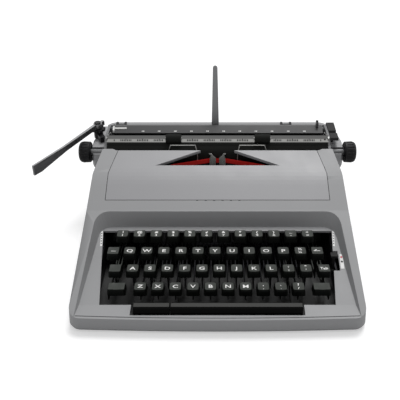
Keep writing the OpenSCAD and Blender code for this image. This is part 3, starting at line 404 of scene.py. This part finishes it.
wear = {
    case_plastic: ["top_shell"],
    tray_plastic: ["base_tray"],
    end_plastic_lit: ["end_cover_left", "end_cover_right"],
    cover_plastic: ["ribbon_cover"],
    foot_rubber: ["rubber_feet"],
    roll_rubber: ["platen", "feed_roller_front", "feed_roller_rear", "bail_rollers"],
    frame_steel: ["carriage_frame", "platen_shaft"],
    zinc_steel: ["type_segment", "carriage_rail", "mainspring_drum", "margin_rail", "bell"],
    dark_steel: ["chassis", "key_comb", "key_pivot_rod", "key_levers_row_1", "key_levers_row_2",
                 "key_levers_row_3", "key_levers_row_4", "fulcrum_wire"],
    bar_steel: ["type_bars", "type_bar_h"],
    wire_steel: ["card_wires"],
    scale_steel: ["paper_bail"],
    lever_steel: ["return_lever"],
    support_steel: ["paper_support"],
    bar_plastic: ["space_bar", "repeat_key"],
    black_plastic: ["knob_left", "knob_right", "ribbon_spool_left", "ribbon_spool_right",
                    "ribbon_selector", "paper_release_lever", "carriage_release_lever"],
    key_plastic: ["shift_keys", "shift_lock_key", "margin_release_key", "backspace_key", "tab_key"],
    table_enamel: ["paper_table"],
    black_enamel: ["margin_stop_left", "margin_stop_right", "lever_bracket"],
    guide_white: ["paper_guide"],
}
for material, names in wear.items():
    dress(material, *names)
print("dressed:", sum(len(v) for v in wear.values()), "of", len(nodes), "and the rest follow below")

# %% [markdown]
# On the lettered caps the painted highlight lies only inside a rounded square on top, and their
# corners fall away into black. The caps of a row stand at even steps, so one wave along the row gives
# the distance to the nearest cap's middle. A squared circle built on that distance, as in a cushion's
# outline, makes the mask. A mask painted for each cap would need a map of its own.

# %% Painted highlight on the rounded tops of the lettered caps
pitch, row_step = 19.0, 19.16
row_y = [37.5 + k * row_step for k in range(4)]
first_of_row = {3: -107.25, 2: -97.75, 1: -93, 0: -83.5}

def cap_group():
    g, given, out = start_group(
        "CapTop",
        (("Vector", "Vector", None), ("First", "Vector", None), ("Half Step", "Float", pitch * mm / 2),
         ("Half Width", "Float", 0.0064)),
        (("Fac", "Float"),))
    away = add_node(g, "VectorMath", "SUBTRACT", given["Vector"], given["First"]).outputs[0]
    parts = add_node(g, "SeparateXYZ", None, away).outputs
    wave = arithmetic(g, "PINGPONG", parts["X"], given["Half Step"])
    cubes = []
    for distance in (wave, parts["Y"]):
        share = arithmetic(g, "ABSOLUTE", arithmetic(g, "DIVIDE", distance, given["Half Width"]))
        cubes.append(arithmetic(g, "POWER", share, 3))
    fade, full = -1.6, 2.3
    total = arithmetic(g, "ADD", *cubes)
    feed(g, out["Fac"], arithmetic(g, "MULTIPLY_ADD", total, fade, full, clamp=True))
    return g

cap_top = cap_group()

def cap_plastic(name, k):
    m = key_black(name)
    tree = m.node_tree
    first = at(first_of_row[k], row_y[k], 0)
    square = add_group(tree, cap_top, {"Vector": coordinates(tree), "First": first})["Fac"]
    top = side_mask(tree, coordinates(tree, "Normal"), up, 0.8, 0.1)
    # painted highlight: lighter grey inside the rounded square on the upward faces of the cap
    mix_in(m, cap_top_highlight, arithmetic(tree, "MULTIPLY", square, top))
    return m

caps = {3: ["keycaps_row_1"], 2: ["keycaps_row_2"], 1: ["keycaps_row_3", "key_h"], 0: ["keycaps_row_4"]}
for k, names in caps.items():
    dress(cap_plastic("cap_row_" + str(4 - k), k), *names)
print("caps masked in", len(caps), "rows")

# %% [markdown]
# The ribbon is inked cloth, red over its upper half and black below, as two-colour ribbons are. Fine
# noise stands for the weave. Beside the type it runs level, and from there it slopes down to each
# spool, so the border between the inks is a line that depends on the distance from the middle.

# %% Inked ribbon
def ribbon_cloth(name, fall, border):
    m = finish(name, (0.008, 0.008, 0.009), 0.75, drift=0.4, patch=900, grain=1800, bump=0.4, specular=0.2)
    tree = m.node_tree
    centred = mapped(tree, coordinates(tree), Location=(-middle, 0, 0))
    folded = add_node(tree, "VectorMath", "ABSOLUTE", centred).outputs[0]
    mix_in(m, (0.80, 0.030, 0.024), side_mask(tree, folded, (fall, 0, 1), border, 0.2 * mm))
    return m

ribbon_width = 12
level_end, spool_side = 56.3, 78
level_z, spool_z = 79.5, 68.7
ink_border = level_z + ribbon_width / 2
run_fall = (level_z - spool_z) / (spool_side - level_end)
dress(ribbon_cloth("ribbon_cloth", 0, ink_border * mm), "ribbon")
dress(ribbon_cloth("run_cloth", run_fall, (ink_border + run_fall * level_end) * mm), "ribbon_runs")
print("ribbon falls", round(run_fall, 3), "mm for each mm towards the spools")

# %% [markdown]
# The ribbon guide in the middle is a thin plate with a cross-hatched pattern pressed into it. It is
# too fine to cut, so a checker that is turned by 45 degrees draws it in the colour.

# %% Cross-hatched guide plate
def hatched_steel():
    m = finish("hatched_steel", (0.07, 0.07, 0.065), 0.45, drift=0.3, metallic=0.2)
    tree = m.node_tree
    check = add_node(tree, "TexChecker")
    check.inputs["Scale"].default_value = 900
    turned = mapped(tree, coordinates(tree), Rotation=(0, math.radians(45), 0), Scale=(1, 0, 1))
    feed(tree, check.inputs["Vector"], turned)
    mix_in(m, (0.62, 0.62, 0.59), check.outputs["Fac"])
    return m

dress(hatched_steel(), "ribbon_vibrator")
print("guide plate hatched")

# %% [markdown]
# The edges of moulded plastic and bent steel are never knife sharp. The solids are merged where their
# loose triangles meet and get a narrow bevel, both as modifiers, so the solids themselves stay as
# they are.

# %% Soft edges on the moulded pieces
def soften(name, width):
    weld = nodes[name].modifiers.new("weld", "WELD")
    weld.merge_threshold = 0.005 * mm
    bevel = nodes[name].modifiers.new("bevel", "BEVEL")
    bevel.width = width * mm
    bevel.segments = 2
    bevel.limit_method = "ANGLE"
    bevel.angle_limit = math.radians(35)

edges = {"top_shell": 1.0, "base_tray": 0.5, "ribbon_cover": 0.4, "end_cover_left": 0.6,
         "end_cover_right": 0.6, "space_bar": 0.5, "repeat_key": 0.5, "return_lever": 0.3,
         "paper_support": 0.4}
for name, width in edges.items():
    soften(name, width)
print("softened the edges of", len(edges), "pieces")

# %% [markdown]
# Each key cap has a shallow round dish, and its legend is printed in that dish. A legend starts as
# text, becomes a mesh, and is then laid into the dish by moving every point down to the sphere that
# the dish was cut with. The letters are wide, so the text is stretched along the row.

# %% Helper for one legend
first_top, row_rise = 34.6, 9.5
dish_radius, dish_depth, proud = 26.0, 0.9, 0.03
print_white = finish("print_white", (0.82, 0.82, 0.80), 0.5, drift=0.04)

def legend(text, x, k, dy=0.0, size=7.0, stretch=1.3):
    y, top = row_y[k], first_top + k * row_rise
    select_only()
    bpy.ops.object.text_add(location=at(x, y + dy, top))
    t = bpy.context.object
    t.data.body = text
    t.data.size = size * mm
    t.data.align_x, t.data.align_y = "CENTER", "CENTER"
    t.data.extrude = 0.08 * mm
    t.data.offset = 0.1 * mm
    t.data.resolution_u = 3
    t.scale = (stretch, 1, 1)
    bpy.ops.object.convert(target="MESH")
    t = bpy.context.object
    bpy.ops.object.transform_apply(location=True, rotation=True, scale=True)
    centre = at(x, y, top)
    for v in t.data.vertices:
        across, along = v.co.x - centre.x, v.co.y - centre.y
        bowl = math.sqrt((dish_radius * mm) ** 2 - across ** 2 - along ** 2)
        v.co.z += (dish_radius - dish_depth + proud) * mm - bowl
    t.data.materials.clear()
    t.data.materials.append(print_white)
    return t

print("dish of", dish_radius, "mm radius and", dish_depth, "mm depth")

# %% [markdown]
# A key with two signs has the upper one above the lower one, both smaller. The legends of a row are
# joined into one piece, which rides with the keys of that row. The H key moves by itself, so its
# letter is a piece of its own, and so are the signs of the three keys beside the rows.

# %% Legends
def join_as(name, pieces, body):
    select_only(*pieces)
    if len(pieces) > 1:
        bpy.ops.object.join()
    piece = bpy.context.object
    piece.name = name
    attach(piece, body)

def legend_row(name, body, places):
    texts = []
    for x, k, text in places:
        if isinstance(text, tuple):
            texts.append(legend(text[0], x, k, dy=2.9, size=4.6))
            texts.append(legend(text[1], x, k, dy=-2.7, size=4.6))
        else:
            texts.append(legend(text, x, k))
    join_as(name, texts, body)

signs = {3: [*zip("!@#$%¢&*()_+", "1234567890-=")],
         2: [*"QWERTYUIOP", ("½", "¼")],
         1: [*"ASDFGHJKL", (":", ";"), ("\"", "'")],
         0: [*"ZXCVBNM", (",", ","), (".", "."), ("?", "/")]}
for k, row in signs.items():
    number = str(4 - k)
    places = [(first_of_row[k] + pitch * i, k, text) for i, text in enumerate(row)]
    legend_row("legends_row_" + number, "keys_row_" + number, [p for p in places if p[2] != "H"])
    alone = [p for p in places if p[2] == "H"]
    if alone:
        legend_row("legend_h", "key_h", alone)

tab = [legend("Tab", 117, 1, size=5.2, stretch=1.1)]
arrow = [legend("\u2190", 111, 2, size=8, stretch=1.2)]
dashes = [legend("\u2013", -116 + dx, 2, size=6, stretch=0.8) for dx in (-2.6, 0, 2.6)]
join_as("legend_tab", tab, "tab_key")
join_as("legend_backspace", arrow, "backspace_key")
join_as("legend_margin_release", dashes, "margin_release_key")
print("keys with a legend:", sum(len(row) for row in signs.values()) + 3)

# %% [markdown]
# Small flat things are stuck or printed on the machine: label strips beside the keys, scale marks on
# the bail and on the paper table. Each starts as a cube that is sized, given rounded edges by an
# applied bevel, turned to the slope it lies on and moved there. The place is then applied, so the
# finished piece sits at the origin like the solids do. A slope is written as two of its points, low
# and high, each with its distance from the front edge and its height.

# %% Helpers for small plates and pins
def slope(low, high):
    return (high[1] - low[1]) / (high[0] - low[0])

def tilt_of(low, high):
    return math.degrees(math.atan(slope(low, high)))

def height_on(low, high, y):
    return low[1] + (y - low[0]) * slope(low, high)

def settle(o, name, material):
    select_only(o)
    bpy.ops.object.transform_apply(location=True, rotation=True, scale=True)
    o.name = name
    o.data.materials.clear()
    o.data.materials.append(material)
    return o

def rounded_bar(size, round_by):
    select_only()
    bpy.ops.mesh.primitive_cube_add(size=1)
    o = bpy.context.object
    o.scale = [v * mm for v in size]
    bpy.ops.object.transform_apply(scale=True)
    bevel = o.modifiers.new("round", "BEVEL")
    bevel.width, bevel.segments, bevel.limit_method = round_by * mm, 2, "NONE"
    bpy.ops.object.modifier_apply(modifier=bevel.name)
    return o

def plate(name, centre, size, material, tilt, turn, round_by):
    o = rounded_bar(size, round_by)
    o.rotation_euler = Euler((math.radians(tilt), 0, math.radians(turn)))
    o.location = centre
    return settle(o, name, material)

def pin(name, centre, radius, depth, material, tilt, vertices):
    select_only()
    bpy.ops.mesh.primitive_cylinder_add(vertices=vertices, radius=radius * mm, depth=depth * mm,
                                        location=centre, rotation=(math.radians(tilt), 0, 0))
    return settle(bpy.context.object, name, material)

print("helpers make plates, pins and rounded bars")

# %% [markdown]
# Beside the keys lie two narrow white strips, and a third beside the slot of the ribbon selector. The
# recess floor climbs to the back, so all three are tilted by the same angle, and its side walls draw
# in towards the back, so the two narrow strips are turned with them. The selector's strip has a red
# and a black dot, one for each ribbon setting.

# %% Label strips
shelf_front, shelf_back, wall_lean = (21.5, 22), (118, 50), 7.5
shelf_tilt = tilt_of(shelf_front, shelf_back)
strip_turn = -math.degrees(math.atan2(wall_lean, shelf_back[0] - shelf_front[0]))

def on_shelf(x, y, lift=0.1):
    return at(x, y, height_on(shelf_front, shelf_back, y) + lift)

label_white = finish("label_white", (0.80, 0.80, 0.79), 0.5, drift=0.04)
dot_red = finish("dot_red", (0.55, 0.02, 0.05), 0.45, drift=0.05)
strip_x, strip_y, mark_lean = 134.6, 107, 0.078
for side, name in ((-1, "label_strip_left"), (1, "label_strip_right")):
    strip = plate(name, on_shelf(side * strip_x, strip_y), (2.4, 22, 0.25), label_white, shelf_tilt,
                  side * strip_turn, 0.1)
    marks = []
    for dy in (-7, -3.5, 0, 3.5, 7):
        centre = on_shelf(side * (strip_x + mark_lean * dy), strip_y + dy, 0.24)
        marks.append(plate("mark", centre, (1.2, 1.6, 0.1), black_enamel, shelf_tilt, 0, 0.04))
    join_as(name, [*marks, strip], "machine")

selector_x, selector_turn = 140.2, -2
strip = plate("selector_strip", on_shelf(selector_x, 76), (4, 20, 0.25), label_white, shelf_tilt,
              selector_turn, 0.1)
dots = [pin("dot", on_shelf(selector_x, y, 0.26), 1.3, 0.2, paint, shelf_tilt, 24)
        for y, paint in ((81.5, dot_red), (75.5, black_enamel))]
join_as("selector_strip", [*dots, strip], "machine")
print("label strips are tilted by", round(shelf_tilt, 1), "degrees")

# %% [markdown]
# The bail is also a ruler. Its face leans back by 35 degrees, with dark marks a twelfth of an inch
# apart on the pale band and a gap at every tenth and at the two rollers. Each fifth mark is longer. A
# small black screw holds the right end.

# %% Marks on the bail
letter_step = 25.4 / 12
roller_places, roller_clear = (-56, 57), 13

def on_bail(x, up_by, out=0.72):
    back = up_by * math.sin(bail_lean) - out * math.cos(bail_lean)
    high = up_by * math.cos(bail_lean) + out * math.sin(bail_lean)
    return bail_axis + Vector((x * mm, back * mm, high * mm))

marks = []
for i in range(-62, 63):
    x = i * letter_step
    if i % 10 in (0, 1, 9) or min(abs(x - place) for place in roller_places) < roller_clear:
        continue
    low, tall = (-2.2, 2.4) if i % 5 else (-1.9, 3.2)
    marks.append(plate("mark", on_bail(x, low), (1.2, 0.1, tall), black_enamel, -bail_tilt, 0, 0.03))
screw_place = on_bail(136.5, -1.2, 0.8)
marks.append(pin("screw", screw_place, 1.1, 0.6, black_enamel, 90 - bail_tilt, 16))
join_as("bail_scale", marks, "bail")
print("marks a twelfth of an inch apart:", round(letter_step, 3), "mm")

# %% [markdown]
# The paper table has short white dashes just above its front edge, a pair for each ten letters.

# %% Dashes on the paper table
table_front, table_back = (257.5, 107.4), (269, 112.5)
table_tilt = tilt_of(table_front, table_back)
dash_y, dash_middle, dash_sunk = 260.4, 8, 0.03
dash_z = height_on(table_front, table_back, dash_y) - dash_sunk
marks = []
for i in range(-5, 6):
    x = i * 10 * letter_step + dash_middle
    for dx, width in ((-1.0, 1.1), (0.9, 1.7)):
        marks.append(plate("mark", at(x + dx, dash_y, dash_z), (width, 1.5, 0.12), print_white, table_tilt,
                           0, 0.03))
join_as("table_scale", marks, "carriage")
print("table slopes by", round(table_tilt, 1), "degrees")

# %% [markdown]
# A black line in the seam round the ribbon cover is painted shade of the gap. It is a thin line that
# follows the deck, which has two slopes with a rounded knee between them, so it is made as a chain of
# short flat bars with rounded edges. Six small black clips stand at its front.

# %% Painted shade in the seam round the ribbon cover
deck_front, knee, deck_back, knee_blend = (131, 70), (178.5, 92.4), (220, 104), 14

def deck_height(y):
    below, above = slope(deck_front, knee), slope(knee, deck_back)
    past = y - knee[0]
    sunk = (below - above) * knee_blend / 4 * (1 - min(1, abs(past) / knee_blend)) ** 2
    return knee[1] + min(past, 0) * below + max(past, 0) * above - sunk

def line_bar(a, b, width, sunk, height, material, extend=0.2):
    (xa, ya), (xb, yb) = a, b
    start, end = at(xa, ya, height(ya) - sunk), at(xb, yb, height(yb) - sunk)
    run = end - start
    o = rounded_bar((run.length / mm + extend, width, 0.2), 0.05)
    o.rotation_euler = Euler((0, -math.asin(run.z / run.length), math.atan2(run.y, run.x)))
    if abs(run.y) < 1e-9:
        o.rotation_euler = Euler((math.atan2(height(ya + 1) - height(ya), 1), 0, 0))
    o.location = (start + end) / 2
    return settle(o, "bar", material)

# painted shade: black bars in the seam stand for the shadow in its gap
seam_shade_black = finish("seam_shade_black", (0.02, 0.02, 0.021), 0.6, drift=0.2, specular=0.2)

def seam_shade_bar(a, b):
    return line_bar(a, b, 0.7, 0.06, deck_height, seam_shade_black)

seam_x, seam_y = 133.2, 144.1
side_seam = [(seam_x, seam_y), (seam_x, 164.5), (seam_x, 173), (seam_x, 180), (131.5, 188), (125.2, 217.3)]
bars = [seam_shade_bar((-seam_x, seam_y), (seam_x, seam_y))]
for side in (-1, 1):
    points = [(side * x, y) for x, y in side_seam]
    bars += [seam_shade_bar(a, b) for a, b in zip(points, points[1:])]
clip_y, clip_tilt = 143.7, tilt_of(deck_front, knee)
for x in range(-24, 27, 10):
    centre = at(x, clip_y, deck_height(clip_y) - 0.02)
    bars.append(plate("clip", centre, (2.6, 0.9, 0.2), seam_shade_black, clip_tilt, 0, 0.05))
print("bars and clips in the seam shade:", len(bars))
join_as("cover_seam_shade", bars, "machine")

# %% [markdown]
# A thin dark line runs along the front rim, which is bowed a little and climbs behind its flat edge.
# It is painted shade, laid on the surface with the same bars.

# %% Painted shade line along the front rim
shade_line_y, shade_line_bow, bow_at, shade_line_end, steps = 3.4, 3.0, 146, 150, 16
rim_edge = (4, 20)
# painted shade: a dark line laid along the front rim
rim_shade_grey = finish("rim_shade_grey", (0.055, 0.055, 0.058), 0.6, drift=0.1, specular=0.3)

def rim_point(i):
    x = i * shade_line_end / steps
    return x, shade_line_y + shade_line_bow * (x / bow_at) ** 2

def rim_height(y):
    return height_on(rim_edge, shelf_front, max(y, rim_edge[0]))

bars = [line_bar(rim_point(i), rim_point(i + 1), 1.1, 0.03, rim_height, rim_shade_grey, 0.3)
        for i in range(-steps, steps)]
print("bars in the painted rim shade:", len(bars))
join_as("rim_shade_line", bars, "machine")
